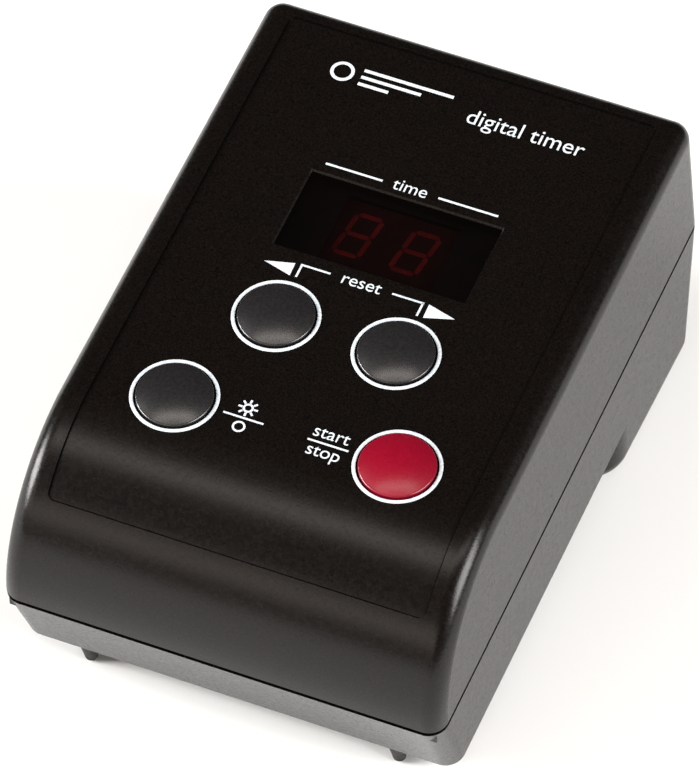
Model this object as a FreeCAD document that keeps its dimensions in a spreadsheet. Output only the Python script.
import FreeCAD, Part
import math
import os
import Sketcher

# Desktop digital timer: a wedge-shaped two-part case with a recessed key panel, a two-digit
# display behind a red window, four round push keys, and a mains power board inside.
#
# Case frame, in which every piece is drawn: X to the right, Y towards the back with 0 at the
# front of the parting line, Z out of the key panel with 0 on the panel.  The whole case is then
# turned about X by the table tilt and set down on the table, so that the row frame has Z up.

os.makedirs("parts", exist_ok=True)
doc = FreeCAD.newDocument("desk_timer")
sheet = doc.addObject("Spreadsheet::Sheet", "Sizes")

DRIVING_SIZES = [
    # the case
    ("case_width", 93.8, "over both sides at the parting line"),
    ("case_length", 140.0, "front to back at the parting line"),
    ("parting_depth", 31.9, "key panel down to the middle of the parting gap"),
    ("tray_depth", 21.5, "parting line down to the shallow underside"),
    ("seam_gap", 1.0, "shadow gap between the two shells"),
    ("wall", 2.2, "wall of both shells"),
    ("cover_side_wall", 2.6, "side walls of the cover at the parting line"),
    ("rim_rise", 0.4, "rim of the cover above the key panel"),
    ("front_radius", 32.0, "rounded front of the cover"),
    ("side_draft", 1.6, "degrees, sides of the cover"),
    ("cover_back_draft", 1.7, "rear face of the cover leans forward by this at its top"),
    ("edge_radius", 4.0, "outer edges of the cover"),
    ("corner_radius", 4.0, "upright corners of the lower shell"),
    ("front_wall_run", 8.0, "front wall of the lower shell leans in by this"),
    ("back_wall_lean", 8.5, "degrees, rear wall of the lower shell"),
    ("pod_front", 90.0, "front of the deep rear pod"),
    ("pod_corner", 9.0, "front corners of the pod in plan"),
    ("pod_edge", 5.0, "lower edges of the pod"),
    ("tray_edge", 1.0, "lower edges of the shallow part"),
    ("table_tilt", 4.3, "degrees, key panel towards the user"),
    # key panel and window
    ("panel_width", 79.8, "recessed key panel"),
    ("panel_back", 133.9, "rear edge of the key panel"),
    ("panel_wrap", 43.8, "degrees of the rounded front that the panel covers"),
    ("panel_corner", 1.6, "corners of the key panel"),
    ("window_width", 41.0, "display opening"),
    ("window_length", 19.8, "display opening"),
    ("window_middle", 88.7, "display opening from the front"),
    ("window_bevel", 0.35, "chamfer round the opening"),
    ("window_fit", 0.1, "clearance of the window in its opening, each side"),
    ("window_sink", 0.5, "window below the panel"),
    ("window_flange", 2.4, "flange round the window behind the panel"),
    ("flange_thickness", 1.0, "flange of the window"),
    # keys
    ("key_hole_radius", 7.95, "holes in the key panel"),
    ("key_fit", 0.2, "gap round a key cap"),
    ("upper_key_x", 12.8, "two digit keys, left and right of the middle"),
    ("upper_key_y", 61.9, "two digit keys from the front"),
    ("lower_key_x", 23.6, "light and start keys"),
    ("lower_key_y", 36.4, "light and start keys from the front"),
    ("key_shoulder", 0.7, "edge of a key cap above the panel"),
    ("key_dome", 1.7, "rise of the dome above that edge"),
    ("key_wall", 1.5, "wall of a key cap"),
    ("key_lip", 1.3, "retaining lip beyond the cap"),
    ("key_lip_gap", 0.6, "lip below the underside of the panel"),
    ("key_travel", 1.0, "press depth"),
    ("stem_radius", 2.6, "stem in a key cap"),
    ("plunger_radius", 1.53, "plunger of a key switch"),
    ("stem_fit", 0.02, "plunger in the stem"),
    ("plunger_fit", 0.07, "plunger in the switch housing"),
    ("switch_side", 12.0, "housing of a key switch"),
    ("switch_height", 6.1, "housing of a key switch"),
    # boards
    ("board_thickness", 1.6, "both circuit boards"),
    ("control_level", 13.0, "top of the control board below the panel"),
    ("control_width", 70.0, "control board"),
    ("control_front", 26.0, "front edge of the control board"),
    ("control_back", 112.0, "rear edge of the control board"),
    ("control_post_x", 31.5, "posts of the control board"),
    ("control_post_front", 50.0, "posts of the control board"),
    ("control_post_back", 106.0, "posts of the control board"),
    ("power_width", 68.0, "power board"),
    ("power_front", 24.0, "front edge of the power board"),
    ("power_back", 88.0, "rear edge of the power board"),
    ("power_standoff", 5.0, "power board above the floor"),
    ("power_post_x", 30.0, "posts of the power board"),
    ("power_post_inset", 5.0, "posts from the front and rear edges of the board"),
    ("post_radius", 3.0, "board posts"),
    ("board_screw_radius", 1.2, "board screws"),
    ("board_screw_length", 8.0, "board screws under the head"),
    ("board_screw_fit", 0.05, "pilot hole round a board screw"),
    ("display_width", 25.0, "two-digit display"),
    ("display_length", 19.0, "two-digit display"),
    ("display_height", 8.0, "two-digit display"),
    ("display_gap", 2.0, "display below the window"),
    # case screws, feet and sockets
    ("case_post_x", 39.0, "screw posts of the case"),
    ("case_post_front", 34.0, "front screw posts"),
    ("case_post_back", 124.0, "rear screw posts"),
    ("case_post_radius", 4.4, "screw posts in the lower shell"),
    ("cover_post_radius", 3.5, "screw posts in the cover"),
    ("case_screw_radius", 1.5, "case screws"),
    ("case_screw_length", 20.0, "case screws under the head"),
    ("case_screw_fit", 0.05, "pilot hole round a case screw"),
    ("case_screw_pass", 0.2, "clearance hole round a case screw"),
    ("screw_head_radius", 2.9, "case screws"),
    ("screw_head_height", 2.2, "case screws"),
    ("screw_seat", 7.0, "seat of the case screws below the parting line"),
    ("foot_x", 33.3, "front feet"),
    ("foot_y", 10.6, "front feet from the front"),
    ("foot_length", 6.2, "front feet below the shallow underside"),
    ("foot_radius", 2.45, "front feet at the case"),
    ("foot_tip_radius", 1.4, "front feet at the tip"),
    ("foot_stud_radius", 1.4, "stud of a foot in the lower shell"),
    ("foot_fit", 0.05, "hole round the stud of a foot"),
    ("socket_x", 18.0, "mains inlet and lamp outlet, left and right"),
    ("socket_drop", 17.5, "middle of the sockets below the parting line"),
    ("socket_width", 27.0, "housing of a socket"),
    ("socket_height", 19.8, "housing of a socket"),
    ("socket_depth", 18.0, "housing of a socket behind the wall"),
    ("socket_flange_width", 31.0, "flange of a socket"),
    ("socket_flange_height", 24.4, "flange of a socket"),
    ("socket_flange", 2.4, "thickness of the flange"),
    ("socket_fit", 0.15, "clearance of a socket in its cut-out"),
]

for row, (alias, number, note) in enumerate(DRIVING_SIZES, start=1):
    sheet.set("A%d" % row, alias.replace("_", " "))
    sheet.set("B%d" % row, str(number))
    sheet.set("C%d" % row, note)
    sheet.setAlias("B%d" % row, alias)
doc.recompute()

ALIASES = sorted((alias for alias, number, note in DRIVING_SIZES), key=len, reverse=True)


def bound(text):
    """The expression with every size name pointing at its cell."""
    words = []
    word = ""
    for letter in str(text) + " ":
        if letter.isalnum() or letter in "_.":
            word += letter
            continue
        words.append("Sizes." + word if word in ALIASES else word)
        words.append(letter)
        word = ""
    return "".join(words).strip()


def value(text):
    """The number that an expression of size names gives now."""
    number = sheet.evalExpression(bound(text))
    return float(getattr(number, "Value", number))


def bind(thing, **expressions):
    for name, text in expressions.items():
        thing.setExpression(name.replace("__", "."), bound(text))


# Levels and lines that several pieces share, as expressions of the driving sizes.
TILT = "(table_tilt * 1 deg)"
LEAN = "(back_wall_lean * 1 deg)"
COVER_HEIGHT = "(parting_depth - seam_gap / 2 + rim_rise)"
FRONT_REACH = "sqrt(2 * front_radius * %s - %s * %s)" % ((COVER_HEIGHT,) * 3)
UNDERSIDE = "(parting_depth + tray_depth)"
PANEL_BACK_FACE = "(wall - rim_rise)"
COVER_EDGE = "(parting_depth - seam_gap / 2)"
SHELL_EDGE = "(parting_depth + seam_gap / 2)"
FOOT_CENTRE = "(parting_depth + tray_depth + foot_length - foot_tip_radius)"
CASE_LIFT = "(foot_tip_radius + %s * cos(%s) - foot_y * sin(%s))" % (FOOT_CENTRE, TILT, TILT)


def table_depth(back):
    """Depth of the table below the key panel, at a distance from the front."""
    return "((%s + (%s) * sin(%s)) / cos(%s))" % (CASE_LIFT, back, TILT, TILT)


POD_FRONT_DEPTH = table_depth("pod_front")
LEAN_AND_TILT = "cos(%s) * cos(%s) + sin(%s) * sin(%s)" % (TILT, LEAN, TILT, LEAN)
BACK_TOP_GAP = "(%s - %s)" % (table_depth("case_length"), SHELL_EDGE)
BACK_DROP = "(%s * cos(%s) * cos(%s) / (%s))" % (BACK_TOP_GAP, TILT, LEAN, LEAN_AND_TILT)
# the wall's drop stops where the leaning wall meets the tilted table
BACK_FOOT = "(case_length - %s * tan(%s))" % (BACK_DROP, LEAN)
TRAY_FLOOR = "(%s - wall)" % UNDERSIDE
CONTROL_UNDER = "(control_level + board_thickness)"
POWER_UNDER = "(%s - power_standoff)" % TRAY_FLOOR
POWER_TOP = "(%s - board_thickness)" % POWER_UNDER
SCREW_SEAT = "(parting_depth + screw_seat)"

pieces = {}


def keep(thing, name, local=None):
    """Names a finished sub-part and notes its place in the case frame."""
    thing.Label = name
    pieces[name] = (thing, local or FreeCAD.Placement())
    return thing


# ------------------------------------------------------------------------------- sketch helpers
def new_body(name):
    return doc.addObject("PartDesign::Body", name)


def plane_of(body, role):
    return [f for f in body.Origin.OriginFeatures if f.Role == role][0]


def new_sketch(body, name, role, level="0", turn=None):
    """A sketch on an origin plane, raised along the plane's normal by level."""
    sketch = body.newObject("Sketcher::SketchObject", name)
    sketch.AttachmentSupport = [(plane_of(body, role), "")]
    sketch.MapMode = "FlatFace"
    if turn is not None:
        sketch.AttachmentOffset = turn
    else:
        sketch.AttachmentOffset = FreeCAD.Placement(FreeCAD.Vector(0, 0, value(level)),
                                                    FreeCAD.Rotation())
        bind(sketch, AttachmentOffset__Base__z=level)
    return sketch


def pin_point(sketch, geo, end, x, y):
    """Holds a point of a sketch at two bound distances from the sketch's origin."""
    for kind, text in (("DistanceX", x), ("DistanceY", y)):
        here = value(text)
        index = sketch.addConstraint(Sketcher.Constraint(kind, -1, 1, geo, end, here))
        sketch.setExpression("Constraints[%d]" % index, bound(text))


def outline(sketch, corners, arcs=None):
    """A closed outline; arcs gives radius and turn of round runs, turn 1 anticlockwise."""
    arcs = arcs or {}
    spots = [FreeCAD.Vector(value(x), value(y), 0) for x, y in corners]
    count = len(spots)
    first = sketch.GeometryCount
    for i, spot in enumerate(spots):
        after = spots[(i + 1) % count]
        if i in arcs:
            sketch.addGeometry(round_run(spot, after, value(arcs[i][0]), arcs[i][1]), False)
        else:
            sketch.addGeometry(Part.LineSegment(spot, after), False)

    def end_of(index, start):
        clockwise = index in arcs and arcs[index][1] < 0
        return 1 if start != clockwise else 2

    for i in range(count):
        j = (i + 1) % count
        sketch.addConstraint(Sketcher.Constraint("Coincident", first + i, end_of(i, False),
                                                 first + j, end_of(j, True)))
    for i, (x, y) in enumerate(corners):
        pin_point(sketch, first + i, end_of(i, True), x, y)
    for i, (radius, turn) in arcs.items():
        index = sketch.addConstraint(Sketcher.Constraint("Radius", first + i, value(radius)))
        sketch.setExpression("Constraints[%d]" % index, bound(radius))
    return sketch


def round_run(spot, after, size, turn):
    """The short arc between two points with its centre on the side it turns towards."""
    chord = after - spot
    side = FreeCAD.Vector(-chord.y, chord.x, 0).normalize()
    reach = math.sqrt(max(size * size - chord.Length * chord.Length / 4, 0))
    centre = (spot + after) / 2 + side * (turn * reach)
    ends = [math.atan2(end.y - centre.y, end.x - centre.x) for end in (spot, after)]
    if turn < 0:
        ends.reverse()
    if ends[1] < ends[0]:
        ends[1] += 2 * math.pi
    ring = Part.Circle(centre, FreeCAD.Vector(0, 0, 1), size)
    return Part.ArcOfCircle(ring, ends[0], ends[1])


def box_corners(x0, x1, y0, y1):
    return [(x0, y0), (x1, y0), (x1, y1), (x0, y1)]


def circles(sketch, spots, radius):
    """Circles of one bound radius at bound centres."""
    for x, y in spots:
        centre = FreeCAD.Vector(value(x), value(y), 0)
        ring = Part.Circle(centre, FreeCAD.Vector(0, 0, 1), value(radius))
        geo = sketch.addGeometry(ring, False)
        pin_point(sketch, geo, 3, x, y)
        index = sketch.addConstraint(Sketcher.Constraint("Radius", geo, value(radius)))
        sketch.setExpression("Constraints[%d]" % index, bound(radius))
    return sketch


def pad(body, name, sketch, length, midplane=False, reverse=False):
    feature = body.newObject("PartDesign::Pad", name)
    feature.Profile = sketch
    feature.Length = value(length)
    bind(feature, Length=length)
    feature.Midplane = midplane
    feature.Reversed = reverse
    doc.recompute()
    return feature


def pocket(body, name, sketch, length, midplane=False, reverse=False):
    """Cuts a sketch out of the body and stops the build if nothing was cut."""
    before = body.Shape.Volume
    feature = body.newObject("PartDesign::Pocket", name)
    feature.Profile = sketch
    feature.Length = value(length)
    bind(feature, Length=length)
    feature.Midplane = midplane
    feature.Reversed = reverse
    doc.recompute()
    if body.Shape.Volume > before - 1e-3:
        raise RuntimeError(name + " cut nothing")
    return feature


def edges_where(feature, test):
    """Names of the edges whose box passes the test."""
    names = []
    for number, edge in enumerate(feature.Shape.Edges, start=1):
        if test(edge.BoundBox, edge):
            names.append("Edge%d" % number)
    return names


def faces_where(feature, test):
    names = []
    for number, face in enumerate(feature.Shape.Faces, start=1):
        if test(face.BoundBox, face):
            names.append("Face%d" % number)
    return names


def fillet(body, name, base, edges, radius):
    feature = body.newObject("PartDesign::Fillet", name)
    feature.Base = (base, edges)
    feature.Radius = value(radius)
    bind(feature, Radius=radius)
    doc.recompute()
    return feature


def near(a, b, tolerance=0.02):
    return abs(a - b) < tolerance


# ------------------------------------------------------------------------- primitive helpers
def block(name, x, y, z, sx, sy, sz):
    """A box from its middle in X and Y and its lower face in Z."""
    thing = doc.addObject("Part::Box", name)
    bind(thing, Length=sx, Width=sy, Height=sz)
    bind(thing, Placement__Base__x="(%s) - (%s) / 2" % (x, sx))
    bind(thing, Placement__Base__y="(%s) - (%s) / 2" % (y, sy))
    bind(thing, Placement__Base__z=z)
    return thing


def rod(name, x, y, z, radius, height, lie=None):
    """A cylinder from its centre and its lower face; lie turns it to run along X or Y."""
    thing = doc.addObject("Part::Cylinder", name)
    bind(thing, Radius=radius, Height=height)
    if lie == "X":
        thing.Placement.Rotation = FreeCAD.Rotation(FreeCAD.Vector(0, 1, 0), 90)
    if lie == "Y":
        thing.Placement.Rotation = FreeCAD.Rotation(FreeCAD.Vector(1, 0, 0), -90)
    bind(thing, Placement__Base__x=x, Placement__Base__y=y, Placement__Base__z=z)
    return thing


def fuse(name, things):
    thing = doc.addObject("Part::MultiFuse", name)
    thing.Shapes = things
    thing.Refine = True
    return thing


def cut(name, base, tool):
    thing = doc.addObject("Part::Cut", name)
    thing.Base = base
    thing.Tool = tool
    return thing


def group(name, things):
    thing = doc.addObject("Part::Compound", name)
    thing.Links = things
    return thing


def rounded(name, base, radius, test):
    """A Part fillet on the edges that pass the test."""
    doc.recompute()
    thing = doc.addObject("Part::Fillet", name)
    thing.Base = base
    size = value(radius)
    picked = [n for n, edge in enumerate(base.Shape.Edges, start=1) if test(edge)]
    thing.Edges = [(n, size, size) for n in picked]
    return thing


def upright(edge):
    box = edge.BoundBox
    return box.XLength < 0.01 and box.YLength < 0.01


# ---------------------------------------------------------------------------------- upper cover
def make_cover():
    body = new_body("cover_body")
    side = outline(new_sketch(body, "cover_side", "YZ_Plane"), [
        ("0", "-%s" % COVER_EDGE),
        ("case_length", "-%s" % COVER_EDGE),
        ("case_length - cover_back_draft", "rim_rise"),
        (FRONT_REACH, "rim_rise")], {3: ("front_radius", 1)})
    shape = pad(body, "cover_block", side, "case_width", midplane=True)
    rim, edge = value("rim_rise"), -value(COVER_EDGE)
    half = value("case_width") / 2

    draft = body.newObject("PartDesign::Draft", "drafted_sides")
    sides = faces_where(shape, lambda b, f: b.XLength < 0.01)
    bottom = faces_where(shape, lambda b, f: b.ZLength < 0.01 and near(b.ZMin, edge))
    draft.Base = (shape, sides)
    draft.NeutralPlane = (shape, bottom)
    draft.Angle = value("side_draft")
    doc.recompute()
    bind(draft, Angle="side_draft")
    doc.recompute()

    inner_radius = "(front_radius - wall)"
    below = "-(max(%s; front_radius - rim_rise) + 1)" % COVER_EDGE
    inside = outline(new_sketch(body, "hollow_side", "YZ_Plane"), [
        ("%s - %s" % (FRONT_REACH, inner_radius), below),
        ("case_length - wall", below),
        ("case_length - wall", "-%s" % COVER_EDGE),
        ("case_length - cover_back_draft - wall", "rim_rise - wall"),
        (FRONT_REACH, "rim_rise - wall"),
        ("%s - %s" % (FRONT_REACH, inner_radius), "rim_rise - front_radius")],
        {4: (inner_radius, 1)})
    hollow = pocket(body, "cover_hollow", inside, "case_width - 2 * cover_side_wall",
                    midplane=True)

    def outer_edge(box, item):
        flat = near(box.ZMin, edge) and near(box.ZMax, edge)
        side = min(abs(box.XMin), abs(box.XMax)) > half - value("cover_side_wall") + 0.2
        beside = side and box.XMin * box.XMax > 0
        back_rim = near(box.ZMin, rim) and box.YMin > value("panel_back")
        return not flat and (beside or back_rim)

    fillet(body, "soft_edges", hollow, edges_where(hollow, outer_edge), "edge_radius")

    wrap = "(panel_wrap * 1 deg)"
    axis_z = "(rim_rise - front_radius)"
    floor_radius = "(front_radius - rim_rise)"
    clear_radius = "(front_radius + 3)"
    panel = outline(new_sketch(body, "panel_side", "YZ_Plane"), [
        ("panel_back", "0"),
        (FRONT_REACH, "0"),
        ("%s - %s * sin(%s)" % (FRONT_REACH, floor_radius, wrap),
         "%s + %s * cos(%s)" % (axis_z, floor_radius, wrap)),
        ("%s - %s * sin(%s)" % (FRONT_REACH, clear_radius, wrap),
         "%s + %s * cos(%s)" % (axis_z, clear_radius, wrap)),
        (FRONT_REACH, "rim_rise + 3"),
        ("panel_back", "rim_rise + 3")],
        {1: (floor_radius, 1), 3: (clear_radius, -1)})
    panel_cut = pocket(body, "key_panel", panel, "panel_width", midplane=True)
    panel_half = value("panel_width") / 2
    corners = edges_where(panel_cut, lambda b, e: near(abs(b.XMin), panel_half)
                          and b.XLength < 0.01 and e.Length < 1.5 * rim)
    fillet(body, "panel_corners", panel_cut, corners, "panel_corner")

    window = outline(new_sketch(body, "window_shape", "XY_Plane"), box_corners(
        "-window_width / 2", "window_width / 2",
        "window_middle - window_length / 2", "window_middle + window_length / 2"))
    opening = pocket(body, "window_opening", window, "wall + 1")
    low = value("window_middle") - value("window_length") / 2 - 0.1
    high = value("window_middle") + value("window_length") / 2 + 0.1
    mouth = edges_where(opening, lambda b, e: near(b.ZMin, 0) and near(b.ZMax, 0)
                        and b.YMin > low and b.YMax < high
                        and b.XMax < value("window_width") / 2 + 0.1
                        and b.XMin > -value("window_width") / 2 - 0.1)
    bevel = body.newObject("PartDesign::Chamfer", "window_bevel")
    bevel.Base = (opening, mouth)
    bevel.Size = value("window_bevel")
    bind(bevel, Size="window_bevel")
    doc.recompute()

    holes = circles(new_sketch(body, "key_holes_shape", "XY_Plane"), KEY_SPOTS,
                    "key_hole_radius")
    pocket(body, "key_holes", holes, "wall + 1")

    def posts(name, spots, radius, foot, pilot, depth):
        top = "(-(%s) + 0.6)" % PANEL_BACK_FACE
        ring = circles(new_sketch(body, name + "_shape", "XY_Plane", level="-(%s)" % foot),
                       spots, radius)
        pad(body, name, ring, "(%s) + %s" % (foot, top))
        bore = circles(new_sketch(body, name + "_pilot_shape", "XY_Plane",
                                  level="-(%s)" % foot), spots, pilot)
        pocket(body, name + "_pilot", bore, depth, reverse=True)

    posts("cover_posts", CASE_POSTS, "cover_post_radius", COVER_EDGE,
          "case_screw_radius + case_screw_fit", "case_screw_length - screw_seat + 3")
    posts("control_posts", CONTROL_POSTS, "post_radius", "control_level",
          "board_screw_radius + board_screw_fit", "board_screw_length")
    return keep(body, "upper_cover")


KEY_SPOTS = [("-upper_key_x", "upper_key_y"), ("upper_key_x", "upper_key_y"),
             ("-lower_key_x", "lower_key_y"), ("lower_key_x", "lower_key_y")]
KEY_NAMES = ["tens_key", "units_key", "light_key", "start_key"]
CASE_POSTS = [("-case_post_x", "case_post_front"), ("case_post_x", "case_post_front"),
              ("-case_post_x", "case_post_back"), ("case_post_x", "case_post_back")]
CONTROL_POSTS = [("-control_post_x", "control_post_front"),
                 ("control_post_x", "control_post_front"),
                 ("-control_post_x", "control_post_back"),
                 ("control_post_x", "control_post_back")]
POWER_POSTS = [(x, y) for y in ("power_front + power_post_inset",
                                "power_back - power_post_inset")
               for x in ("-power_post_x", "power_post_x")]


# ---------------------------------------------------------------------------------- lower shell
def make_lower_shell():
    body = new_body("shell_body")
    pod_depth = POD_FRONT_DEPTH
    back_depth = "(%s + %s)" % (SHELL_EDGE, BACK_DROP)
    side = outline(new_sketch(body, "shell_side", "YZ_Plane"), [
        ("0", "-%s" % SHELL_EDGE),
        ("front_wall_run", "-%s" % UNDERSIDE),
        ("pod_front", "-%s" % UNDERSIDE),
        ("pod_front", "-%s" % pod_depth),
        (BACK_FOOT, "-%s" % back_depth),
        ("case_length", "-%s" % SHELL_EDGE)])
    shape = pad(body, "shell_block", side, "case_width", midplane=True)
    top = -value(SHELL_EDGE)
    under = -value(UNDERSIDE)
    half = value("case_width") / 2
    step = value("pod_front")

    pod_corners = edges_where(shape, lambda b, e: b.XLength < 0.01 and near(b.YMin, step)
                              and near(b.YMax, step))
    shape = fillet(body, "pod_corners", shape, pod_corners, "pod_corner")

    def upright_corner(box, item):
        on_side = box.XLength < 0.01 and near(abs(box.XMin), half)
        return on_side and near(box.ZMax, top) and box.ZLength > 1

    shape = fillet(body, "shell_corners", shape, edges_where(shape, upright_corner),
                   "corner_radius")

    hollow = body.newObject("PartDesign::Thickness", "shell_wall")
    hollow.Base = (shape, faces_where(shape, lambda b, f: f.Area > 0.9 * half * 2 * step
                                      and near(f.CenterOfMass.z, top)))
    hollow.Value = value("wall")
    hollow.Reversed = True
    hollow.Join = 1
    doc.recompute()
    bind(hollow, Value="wall")
    doc.recompute()
    table_front = value(table_depth("0"))
    table_slope = value("tan(%s)" % TILT)

    def pod_edge(box, item):
        on_table = [near(v.Z, -table_front - table_slope * v.Y) for v in item.Vertexes]
        return all(on_table)

    hollow = fillet(body, "pod_edges", hollow, edges_where(hollow, pod_edge), "pod_edge")

    def tray_edge(box, item):
        at_bottom = near(box.ZMin, under) and near(box.ZMax, under)
        outside = near(abs(box.XMin), half) or near(box.YMin, value("front_wall_run"))
        corner = at_bottom and box.YMax < value("front_wall_run") + value("corner_radius") + 1
        return at_bottom and box.YMax < step + 0.1 and (outside or corner)

    edges = [e for e in edges_where(hollow, tray_edge)]
    fillet(body, "tray_edges", hollow, edges, "tray_edge")

    def rim_ring(name, outer, inner, level, height):
        ring = new_sketch(body, name + "_shape", "XY_Plane", level=level)
        for offset in (outer, inner):
            outline(ring, box_corners("-case_width / 2 + (%s)" % offset,
                                      "case_width / 2 - (%s)" % offset,
                                      offset, "case_length - (%s)" % offset))
        return pad(body, name, ring, height)

    rim_ring("rim_ledge", "wall * 0.6", "cover_side_wall + 1.5", "-(%s + 3)" % SHELL_EDGE,
             "3")
    rim_ring("rim_tongue", "cover_side_wall + 0.3", "cover_side_wall + 1.5",
             "-%s" % SHELL_EDGE, "seam_gap + 2.5")

    def posts(name, spots, radius, head, foot_of):
        for number, (x, y) in enumerate(spots, start=1):
            ring = circles(new_sketch(body, "%s_%d_shape" % (name, number), "XY_Plane",
                                      level="-(%s)" % head), [(x, y)], radius)
            pad(body, "%s_%d" % (name, number), ring, "(%s) - (%s)" % (foot_of(y), head),
                reverse=True)

    def pod_floor(y):
        if y == "case_post_back":
            return "(%s - wall / 2)" % table_depth(y)
        return "(%s - wall / 2)" % UNDERSIDE

    posts("shell_posts", CASE_POSTS, "case_post_radius", COVER_EDGE, pod_floor)
    posts("power_posts", POWER_POSTS, "post_radius", POWER_UNDER, pod_floor)

    def drill(name, spots, radius, level, depth):
        ring = circles(new_sketch(body, name + "_shape", "XY_Plane", level=level), spots, radius)
        return pocket(body, name, ring, depth)

    drill("screw_wells", CASE_POSTS, "screw_head_radius + case_screw_pass",
          "-%s" % SCREW_SEAT, "60")
    drill("screw_ways", CASE_POSTS, "case_screw_radius + case_screw_pass", "0",
          "%s + 1" % SCREW_SEAT)
    drill("power_pilots", POWER_POSTS, "board_screw_radius + board_screw_fit",
          "-%s" % POWER_UNDER, "board_screw_length - board_thickness + 0.2")
    drill("foot_holes", [("-foot_x", "foot_y"), ("foot_x", "foot_y")],
          "foot_stud_radius + foot_fit", "0", "80")

    turn = socket_place()
    openings = new_sketch(body, "socket_openings_shape", "XY_Plane", turn=turn)
    for x in ("-socket_x", "socket_x"):
        outline(openings, box_corners("%s - socket_width / 2 - socket_fit" % x,
                                      "%s + socket_width / 2 + socket_fit" % x,
                                      "-socket_height / 2 - socket_fit",
                                      "socket_height / 2 + socket_fit"))
    pocket(body, "socket_openings", openings, "wall * 3")
    return keep(body, "lower_shell")


def socket_place():
    """Local frame of the sockets: on the rear wall's face, Z outwards, Y up the wall."""
    lean = math.radians(value("back_wall_lean"))
    drop = value("socket_drop")
    back = value("case_length") - drop * math.tan(lean)
    spot = FreeCAD.Vector(0, back, -value(SHELL_EDGE) - drop)
    across = FreeCAD.Vector(-1, 0, 0)
    up = FreeCAD.Vector(0, math.sin(lean), math.cos(lean))
    out = FreeCAD.Vector(0, math.cos(lean), -math.sin(lean))
    return FreeCAD.Placement(spot, FreeCAD.Rotation(across, up, out, "ZXY"))


# ------------------------------------------------------------------------------ display and keys
def make_window():
    body = new_body("window_body")
    flange = outline(new_sketch(body, "window_flange_shape", "XY_Plane",
                                level="-%s - flange_thickness" % PANEL_BACK_FACE),
                     box_corners("-window_width / 2 - window_flange",
                                 "window_width / 2 + window_flange",
                                 "window_middle - window_length / 2 - window_flange",
                                 "window_middle + window_length / 2 + window_flange"))
    pad(body, "window_flange_plate", flange, "flange_thickness")
    pane = outline(new_sketch(body, "window_pane_shape", "XY_Plane",
                              level="-%s - flange_thickness" % PANEL_BACK_FACE),
                   box_corners("-window_width / 2 + window_fit",
                               "window_width / 2 - window_fit",
                               "window_middle - window_length / 2 + window_fit",
                               "window_middle + window_length / 2 - window_fit"))
    pad(body, "window_pane", pane, "%s + flange_thickness - window_sink" % PANEL_BACK_FACE)
    return keep(body, "display_window")


def make_key(name, x, y):
    """A domed cap with a lip and a stem, turned about its own axis."""
    body = new_body(name + "_cap_body")
    cap = "(key_hole_radius - key_fit)"
    lip = "(%s + key_lip)" % cap
    soft = "0.3"
    shoulder_radius = "(%s - %s)" % (cap, soft)
    dome = "((%s * %s + key_dome * key_dome) / (2 * key_dome))" % (shoulder_radius,
                                                                  shoulder_radius)
    lip_top = "(-%s - key_lip_gap)" % PANEL_BACK_FACE
    ceiling = "(key_shoulder - key_wall)"
    inner = "(%s - key_wall)" % cap
    stem_foot = "(-control_level + switch_height + key_travel + 0.3)"
    bore = "(plunger_radius + stem_fit)"
    bore_top = "(%s + 3)" % stem_foot
    half = outline(new_sketch(body, name + "_half", "XZ_Plane"), [
        ("0", "key_shoulder + key_dome"),
        ("0", bore_top),
        (bore, bore_top),
        (bore, stem_foot),
        ("stem_radius", stem_foot),
        ("stem_radius", ceiling),
        (inner, ceiling),
        (inner, "%s - 1" % lip_top),
        (lip, "%s - 1" % lip_top),
        (lip, lip_top),
        (cap, lip_top),
        (cap, "key_shoulder - %s" % soft),
        (shoulder_radius, "key_shoulder")],
        {11: (soft, 1), 12: (dome, 1)})
    turn = body.newObject("PartDesign::Revolution", name + "_turned")
    turn.Profile = half
    turn.ReferenceAxis = (half, ["V_Axis"])
    turn.Angle = 360
    doc.recompute()
    place = FreeCAD.Placement(FreeCAD.Vector(value(x), value(y), 0), FreeCAD.Rotation())
    keep(body, name + "_cap", place)

    collar_top = "(-control_level + switch_height - 0.85)"
    top = "(%s - 0.05)" % bore_top
    shaft = rod(name + "_plunger_shaft", "0", "0", "%s - 0.9" % collar_top,
                "plunger_radius", "%s - %s + 0.9" % (top, collar_top))
    collar = rod(name + "_plunger_collar", "0", "0", "%s - 0.9" % collar_top,
                 "plunger_radius + 1", "0.9")
    keep(fuse(name + "_plunger_parts", [shaft, collar]), name + "_plunger", place)

    housing = block(name + "_switch_block", "0", "0", "-control_level",
                    "switch_side", "switch_side", "switch_height")
    way = rod(name + "_switch_way", "0", "0", "-control_level",
              "plunger_radius + plunger_fit", "switch_height + 1")
    chamber = rod(name + "_switch_chamber", "0", "0", "-control_level + 2.4",
                  "plunger_radius + 1.2", "switch_height - 3.2")
    base = rod(name + "_switch_base", "0", "0", "-control_level", "plunger_radius + 1.2", "2.4")
    hollow = cut(name + "_switch_hollow", rounded(name + "_switch_soft", housing, "0.6", upright),
                 fuse(name + "_switch_core", [way, chamber]))
    keep(fuse(name + "_switch_parts", [hollow, base]), name + "_switch", place)


def make_display():
    case = rounded("display_soft", block("display_block", "0", "window_middle",
                                         "-control_level + 0.2", "display_width",
                                         "display_length", "display_height"), "0.3", upright)
    legs = []
    for side in (-1, 1):
        for number in range(9):
            x = "%d * 2.54" % (number - 4)
            y = "window_middle + %d * 7.62" % side
            legs.append(rod("display_leg_%d_%d" % (side + 1, number), x, y,
                            "-%s - 1.2" % CONTROL_UNDER, "0.25", "board_thickness + 1.9"))
    keep(fuse("display_parts", [case] + legs), "display_module")


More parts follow.
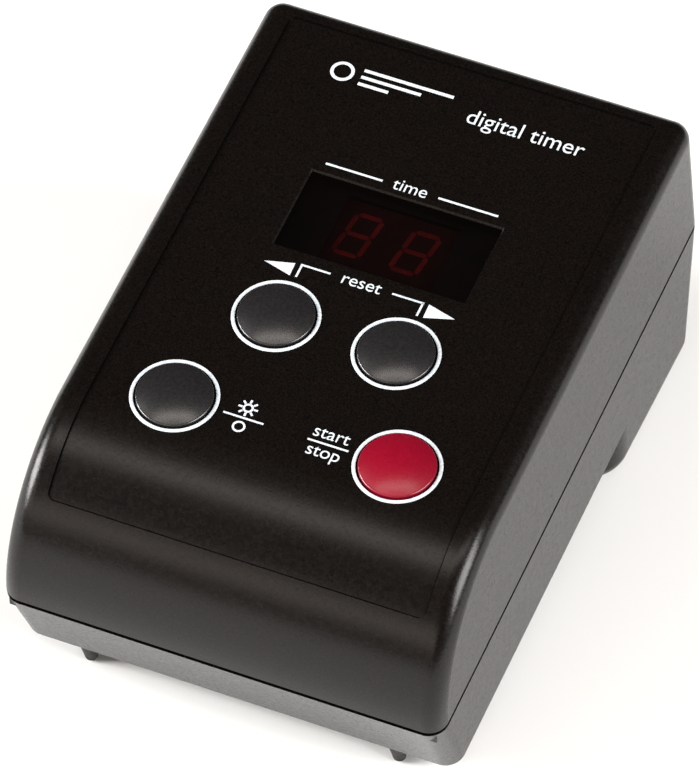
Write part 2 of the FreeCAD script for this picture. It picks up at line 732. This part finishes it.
# --------------------------------------------------------------------------------- control board
def board(name, middle, level, width, length, spots, drilled):
    plate = block(name + "_plate", "0", middle, level, width, length, "board_thickness")
    tools = [rod("%s_screw_way_%d" % (name, n), x, y, "%s - 1" % level,
                 "board_screw_radius + 0.2", "board_thickness + 2")
             for n, (x, y) in enumerate(spots)]
    tools += [rod("%s_hole_%d" % (name, n), x, y, "%s - 1" % level, radius,
                  "board_thickness + 2") for n, (x, y, radius) in enumerate(drilled)]
    keep(cut(name + "_drilled", plate, fuse(name + "_drills", tools)), name)


def legs_of(name, spots, top, radius="0.3"):
    """Soldered legs from a component's base through its board."""
    return [rod("%s_leg_%d" % (name, n), x, y, "%s - board_thickness - 1.2" % top, radius,
                "board_thickness + 2.2") for n, (x, y) in enumerate(spots)]


def screws(name, spots, radius, length, head_radius, head_height, seat, up):
    """Pan-head screws as one group: up is 1 when the shank points up from the seat."""
    made = []
    for number, (x, y) in enumerate(spots):
        tag = "%s_%d" % (name, number)
        shank_foot = seat if up > 0 else "(%s) - %s" % (seat, length)
        head_foot = "(%s) - %s" % (seat, head_height) if up > 0 else seat
        shank = rod(tag + "_shank", x, y, shank_foot, radius, length)
        head = rod(tag + "_head", x, y, head_foot, head_radius, head_height)
        slot_z = "(%s) - 0.05" % head_foot if up > 0 else "(%s) + %s * 0.55" % (head_foot,
                                                                               head_height)
        wide = block(tag + "_slot_a", x, y, slot_z, "%s * 1.1" % head_radius, "0.55",
                     "%s * 0.5" % head_height)
        deep = block(tag + "_slot_b", x, y, slot_z, "0.55", "%s * 1.1" % head_radius,
                     "%s * 0.5" % head_height)
        made.append(cut(tag + "_cut", fuse(tag + "_solid", [shank, head]),
                        fuse(tag + "_cross", [wide, deep])))
    keep(group(name + "_group", made), name)


def chip(name, x, y, level, long_side, short_side, pins):
    """A two-row chip with its legs, long side across the board."""
    case = block(name + "_case", x, y, "%s + 0.5" % level, long_side, short_side, "3.3")
    dot = rod(name + "_dot", "%s - (%s) / 2 + 1.6" % (x, long_side), y, "%s + 3.4" % level,
              "0.7", "0.6")
    solid = cut(name + "_marked", case, dot)
    legs = []
    for side in (-1, 1):
        for number in range(pins // 2):
            leg_x = "%s + %.2f" % (x, (number - (pins // 2 - 1) / 2) * 2.54)
            leg_y = "%s + %d * (%s) / 2" % (y, side, short_side)
            legs.append(block("%s_leg_%d_%d" % (name, side + 1, number), leg_x, leg_y,
                              "%s - board_thickness - 1.2" % level, "0.5", "0.5",
                              "board_thickness + 1.2 + 2.2"))
    keep(fuse(name + "_parts", [solid] + legs), name)


def make_control_parts():
    top = "-control_level"
    chip("microcontroller", "-1.5", "104", top, "35", "7", 28)
    can = rod("crystal_can", "20", "104", "%s + 0.3" % top, "2.2", "3.2")
    can_2 = rod("crystal_can_2", "26", "104", "%s + 0.3" % top, "2.2", "3.2")
    web = block("crystal_web", "23", "104", "%s + 0.3" % top, "6", "4.4", "3.2")
    legs = legs_of("crystal", [("20.6", "104"), ("25.4", "104")], top, "0.25")
    keep(fuse("crystal_parts", [can, can_2, web] + legs), "clock_crystal")
    shell = rod("sounder_shell", "-26", "86", top, "6", "8.5")
    mouth = rod("sounder_mouth", "-26", "86", "%s + 7.3" % top, "1.2", "2")
    keep(cut("sounder_parts", shell, mouth), "sounder")
    resistors = []
    for n in range(7):
        y = "%.1f" % (74 + 3.2 * n)
        barrel = rod("resistor_%d_barrel" % n, "21.5", y, "%s + 1.2" % top, "1.15", "6.4",
                     lie="X")
        lead = block("resistor_%d_lead" % n, "24.7", y, "%s + 0.95" % top, "10", "0.5", "0.5")
        ends = [block("resistor_%d_end_%d" % (n, k), x, y, "-%s - 1.2" % CONTROL_UNDER, "0.6",
                      "0.6", "board_thickness + 2.65") for k, x in enumerate(("20", "29.4"))]
        resistors.append(fuse("resistor_%d" % n, [barrel, lead] + ends))
    keep(group("resistor_group", resistors), "digit_resistors")


# ----------------------------------------------------------------------------------- power board
def make_power_parts():
    top = "-%s" % POWER_TOP
    core = block("transformer_block", "-15", "65.5", "%s + 0.3" % top, "33", "28", "23.5")
    core = rounded("transformer_soft", core, "1.2", upright)
    legs = legs_of("transformer", [("-15 + %d * 12.5" % i, "65.5 + %d * 10" % j)
                                   for i in (-1, 1) for j in (-1, 1)], top, "0.4")
    keep(fuse("transformer_parts", [core] + legs), "transformer")

    relay = rounded("relay_soft", block("relay_block", "17.5", "71.5", "%s + 0.3" % top, "28.5",
                                        "10.1", "15.3"), "0.6", upright)
    legs = legs_of("relay", [(x, "71.5") for x in ("6", "17", "29")], top, "0.5")
    keep(fuse("relay_parts", [relay] + legs), "lamp_relay")

    clips = []
    fuse_level = "%s + 5.4" % top
    for n, x in enumerate(("7.5", "22.5")):
        foot = block("fuse_clip_%d_foot" % n, x, "59.5", top, "5", "6.8", "0.6")
        cheeks = [block("fuse_clip_%d_cheek_%d" % (n, s + 1), x, "59.5 + %d * 3.1" % s, top,
                        "5", "0.6", "8.2") for s in (-1, 1)]
        clips.append(fuse("fuse_clip_%d" % n, [foot] + cheeks))
    keep(group("fuse_clip_group", clips), "fuse_clips")
    tube = rod("fuse_tube", "9.6", "59.5", fuse_level, "2.3", "10.8", lie="X")
    caps = [rod("fuse_cap_%d" % n, x, "59.5", fuse_level, "2.6", "5", lie="X")
            for n, x in enumerate(("5", "20"))]
    keep(fuse("fuse_parts", [tube] + caps), "fuse_link")

    can = rod("capacitor_can", "-22", "40", "%s + 0.3" % top, "6.5", "20")
    legs = legs_of("capacitor", [("-24.5", "40"), ("-19.5", "40")], top)
    keep(fuse("capacitor_parts", [can] + legs), "smoothing_capacitor")

    can = rod("rectifier_can", "-7", "44", "%s + 0.6" % top, "4.6", "5.5")
    legs = legs_of("rectifier", [("-7 + %d * 1.8" % i, "44 + %d * 1.8" % j)
                                 for i in (-1, 1) for j in (-1, 1)], top, "0.4")
    keep(fuse("rectifier_parts", [can] + legs), "bridge_rectifier")

    tab = block("regulator_tab", "6", "36.6", "%s + 4" % top, "10", "1.3", "15.5")
    case = block("regulator_case", "6", "38.8", "%s + 4" % top, "10", "3.1", "9")
    legs = [block("regulator_leg_%d" % n, "6 + %d * 2.54" % (n - 1), "38.6",
                  "%s - board_thickness - 1.2" % top, "0.8", "0.5",
                  "board_thickness + 1.2 + 4.5") for n in range(3)]
    keep(fuse("regulator_parts", [tab, case] + legs), "voltage_regulator")
    sink = block("heat_sink_web", "6", "35.2", "%s + 0.4" % top, "16", "1.5", "21")
    fins = [block("heat_sink_fin_%d" % (s + 1), "6 + %d * 7.25" % s, "31.9",
                  "%s + 0.4" % top, "1.5", "7", "21") for s in (-1, 1)]
    keep(fuse("heat_sink_parts", [sink] + fins), "heat_sink")

    box = rounded("suppressor_soft", block("suppressor_block", "21", "48", "%s + 0.3" % top,
                                           "18", "8.5", "14.5"), "0.5", upright)
    legs = legs_of("suppressor", [("13.5", "48"), ("28.5", "48")], top)
    keep(fuse("suppressor_parts", [box] + legs), "suppressor_capacitor")

    base = block("terminal_base", "15", "82.6", top, "20.4", "8.6", "10")
    wells = [rod("terminal_screw_well_%d" % n, "15 + %.2f" % ((n - 1.5) * 5.08), "81.6",
                 "%s + 7.5" % top, "1.7", "4") for n in range(4)]
    ways = [rod("terminal_way_%d" % n, "15 + %.2f" % ((n - 1.5) * 5.08), "82.4",
                "%s + 3.6" % top, "1.45", "6", lie="Y") for n in range(4)]
    keep(cut("terminal_parts", base, fuse("terminal_cuts", wells + ways)), "terminal_block")
    heads = []
    for n in range(4):
        spot = "15 + %.2f" % ((n - 1.5) * 5.08)
        head = rod("terminal_screw_%d_head" % n, spot, "81.6", "%s + 7.5" % top, "1.5", "1.6")
        slot = block("terminal_screw_%d_slot" % n, spot, "81.6", "%s + 8.6" % top, "2.6", "0.5",
                     "0.6")
        heads.append(cut("terminal_screw_%d" % n, head, slot))
    keep(group("terminal_screw_group", heads), "terminal_screws")


def make_ribbon():
    """A ten-way header on each board and the flat cable folded between them."""
    x, y = "21", "33"
    for name, foot in (("power_header", "-%s" % POWER_TOP),
                       ("control_header", "-%s - 8.5" % CONTROL_UNDER)):
        keep(group(name + "_group", [block(name + "_block", x, y, foot, "13.6", "5.2",
                                           "8.5")]), name)
    body = new_body("ribbon_body")
    low = "(-%s + 8.5)" % POWER_TOP
    high = "(-%s - 8.5)" % CONTROL_UNDER
    thick = "0.9"
    # the fold runs up, back over itself and up again
    third = "((%s - %s) / 3)" % (high, low)
    fold = outline(new_sketch(body, "ribbon_side", "YZ_Plane"), [
        ("33 - %s / 2" % thick, low),
        ("33 + %s / 2" % thick, low),
        ("33 + %s / 2" % thick, "%s + %s - %s / 2" % (low, third, thick)),
        ("40", "%s + %s - %s / 2" % (low, third, thick)),
        ("40", "%s - %s + %s / 2" % (high, third, thick)),
        ("33 + %s / 2" % thick, "%s - %s + %s / 2" % (high, third, thick)),
        ("33 + %s / 2" % thick, high),
        ("33 - %s / 2" % thick, high),
        ("33 - %s / 2" % thick, "%s - %s - %s / 2" % (high, third, thick)),
        ("40 - %s" % thick, "%s - %s - %s / 2" % (high, third, thick)),
        ("40 - %s" % thick, "%s + %s + %s / 2" % (low, third, thick)),
        ("33 - %s / 2" % thick, "%s + %s + %s / 2" % (low, third, thick))])
    pad(body, "ribbon_strip", fold, "12.7", midplane=True)
    place = FreeCAD.Placement(FreeCAD.Vector(value(x), 0, 0), FreeCAD.Rotation())
    keep(body, "ribbon_cable", place)


# --------------------------------------------------------------------------- sockets and wiring
def make_sockets():
    """Local Z is outwards from the rear wall and local Y is up the wall."""
    place = socket_place()
    inlet_x, outlet_x = "socket_x", "-socket_x"
    for name, x in (("mains_inlet", inlet_x), ("lamp_outlet", outlet_x)):
        flange = rounded(name + "_flange_soft",
                         block(name + "_flange", x, "0", "0", "socket_flange_width",
                               "socket_flange_height", "socket_flange"), "2.5",
                         lambda edge: edge.BoundBox.XLength < 0.01
                         and edge.BoundBox.YLength < 0.01)
        housing = block(name + "_housing", x, "0", "-socket_depth", "socket_width",
                        "socket_height", "socket_depth + 0.5")
        well = block(name + "_well", x, "0", "socket_flange - 15", "24.2", "16.4", "16")
        hollow = cut(name + "_hollow", fuse(name + "_solid", [flange, housing]), well)
        if name == "mains_inlet":
            keep(hollow, name, place)
            continue
        core = block(name + "_core", x, "0", "-socket_depth + 1", "19.6", "11.8",
                     "socket_depth + socket_flange - 2")
        slots = [block("%s_slot_%d" % (name, n), "%s + %d" % (x, dx), str(dy),
                       "-socket_depth + 2", "2.4", "4.8", "30")
                 for n, (dx, dy) in enumerate(((-7, -1), (0, 2), (7, -1)))]
        solid = fuse(name + "_cored", [hollow, core])
        keep(cut(name + "_slotted", solid, fuse(name + "_slots", slots)), name, place)
    blades = []
    for n, (dx, dy) in enumerate(((-7, -2), (0, 2), (7, -2))):
        blades.append(block("inlet_blade_%d" % n, "%s + %d" % (inlet_x, dx), str(dy),
                            "-socket_depth - 7", "2", "4", "socket_depth + 5.5"))
    keep(group("inlet_blades_group", blades), "inlet_blades", place)
    tabs = []
    for n, (dx, dy) in enumerate(((-7, -1), (0, 2), (7, -1))):
        tabs.append(block("outlet_tab_%d" % n, "%s + %d" % (outlet_x, dx), str(dy),
                          "-socket_depth - 7", "0.8", "4", "9.5"))
    keep(group("outlet_contacts_group", tabs), "outlet_contacts", place)


def wire(points, radius):
    """A round wire through the points, its corners rounded by tangent arcs."""
    spots = [FreeCAD.Vector(*point) for point in points]
    edges = []
    last = spots[0]
    for before, corner, after in zip(spots, spots[1:], spots[2:]):
        inward = (before - corner).normalize()
        onward = (after - corner).normalize()
        reach = 0.45 * min((before - corner).Length, (after - corner).Length)
        start = corner + inward * reach
        finish = corner + onward * reach
        half = inward.getAngle(onward) / 2
        size = reach * math.tan(half)
        centre = corner + (inward + onward).normalize() * (reach / math.cos(half))
        middle = centre + (corner - centre).normalize() * size
        edges.append(Part.LineSegment(last, start).toShape())
        edges.append(Part.Arc(start, middle, finish).toShape())
        last = finish
    edges.append(Part.LineSegment(last, spots[-1]).toShape())
    spine = Part.Wire(edges)
    heading = (spots[1] - spots[0]).normalize()
    ring = Part.Wire(Part.Circle(spots[0], heading, radius).toShape())
    return spine.makePipeShell([ring], True, False)


def make_wires():
    """Insulated leads from the socket tabs to the terminal block, and the earth lead."""
    place = socket_place()
    size = value("1.3")
    top = -value(POWER_TOP)
    back = value("-socket_depth") - 7
    x = value("socket_x")

    def tab(side, dx, dy):
        return place.multVec(FreeCAD.Vector(side * x + dx, dy, back))

    inward = place.Rotation.multVec(FreeCAD.Vector(0, 0, -1))
    ends = [tab(-1, 7, -1), tab(-1, -7, -1), tab(1, 7, -2), tab(1, -7, -2)]
    made = []
    for number, spot in enumerate(sorted(ends, key=lambda item: item.x)):
        goal_x = 15 + (number - 1.5) * 5.08
        goal = FreeCAD.Vector(goal_x, 88.4 - 1.5, top + 3.6)
        points = [spot, spot + inward * 6, FreeCAD.Vector(goal_x, 97, top + 3.6), goal]
        made.append(wire([tuple(p) for p in points], size))
    lead = doc.addObject("Part::Feature", "lead_solids")
    lead.Shape = Part.makeCompound(made)
    keep(lead, "mains_leads")

    left, right = tab(-1, 0, 2), tab(1, 0, 2)
    rise = place.Rotation.multVec(FreeCAD.Vector(0, 3, 0))
    points = [left, left + inward * 2, left + inward * 7 + rise,
              right + inward * 7 + rise, right + inward * 2, right]
    earth = doc.addObject("Part::Feature", "earth_solid")
    earth.Shape = wire([tuple(p) for p in points], size)
    keep(earth, "earth_lead")


# -------------------------------------------------------------------------------------- feet
def make_feet():
    feet = []
    tip_level = "-%s - foot_length + foot_tip_radius" % UNDERSIDE
    for side in (-1, 1):
        name = "foot_%d" % (side + 1)
        x = "%d * foot_x" % side
        taper = doc.addObject("Part::Cone", name + "_taper")
        bind(taper, Radius1="foot_tip_radius", Radius2="foot_radius",
             Height="foot_length - foot_tip_radius", Placement__Base__x=x,
             Placement__Base__y="foot_y", Placement__Base__z=tip_level)
        tip = doc.addObject("Part::Sphere", name + "_tip")
        bind(tip, Radius="foot_tip_radius", Placement__Base__x=x, Placement__Base__y="foot_y",
             Placement__Base__z=tip_level)
        stud = rod(name + "_stud", x, "foot_y", "-%s - 0.2" % UNDERSIDE, "foot_stud_radius",
                   "wall + 0.2")
        feet.append(fuse(name + "_solid", [taper, tip, stud]))
    keep(group("front_feet_group", feet), "front_feet")


# -------------------------------------------------------------------------------- the assembly
make_cover()
make_lower_shell()
make_window()
for key_name, (key_x, key_y) in zip(KEY_NAMES, KEY_SPOTS):
    make_key(key_name, key_x, key_y)
make_display()
board("control_board", "(control_front + control_back) / 2", "-%s" % CONTROL_UNDER,
      "control_width", "control_back - control_front", CONTROL_POSTS, [])
screws("control_screws", CONTROL_POSTS, "board_screw_radius", "board_screw_length", "2.3",
       "1.6", "-%s" % CONTROL_UNDER, 1)
make_control_parts()
board("power_board", "(power_front + power_back) / 2", "-%s" % POWER_UNDER, "power_width",
      "power_back - power_front", POWER_POSTS, [])
screws("power_screws", POWER_POSTS, "board_screw_radius", "board_screw_length", "2.3", "1.6",
       "-%s" % POWER_TOP, -1)
make_power_parts()
make_ribbon()
make_sockets()
make_wires()
screws("case_screws", CASE_POSTS, "case_screw_radius", "case_screw_length",
       "screw_head_radius", "screw_head_height", "-%s" % SCREW_SEAT, 1)
make_feet()
doc.recompute()

# The case frame in the row frame: tilted, lifted on to the table and centred on the origin.
tilt = FreeCAD.Rotation(FreeCAD.Vector(1, 0, 0), value("table_tilt"))
case_place = FreeCAD.Placement(FreeCAD.Vector(0, 0, value(CASE_LIFT)), tilt)


def place_all():
    for thing, local in pieces.values():
        thing.Placement = case_place.multiply(local)
    doc.recompute()


place_all()
boxes = [thing.Shape.optimalBoundingBox() for thing, local in pieces.values()]
middle = (min(b.YMin for b in boxes) + max(b.YMax for b in boxes)) / 2
case_place.Base.y = -middle
place_all()

for thing in doc.Objects:
    if "Invalid" in thing.State or "Error" in thing.State:
        raise RuntimeError("%s failed: %s" % (thing.Label, thing.State))
for name, (thing, local) in pieces.items():
    if thing.Shape.isNull() or not thing.Shape.isValid():
        raise RuntimeError(name + " has no valid shape")
    thing.Shape.exportStep("parts/%s.step" % name)
    box = thing.Shape.optimalBoundingBox()
    print("%-22s %2d solids %9.1f mm3  x %6.1f %6.1f  y %6.1f %6.1f  z %6.1f %6.1f" % (
        name, len(thing.Shape.Solids), thing.Shape.Volume, box.XMin, box.XMax, box.YMin,
        box.YMax, box.ZMin, box.ZMax))
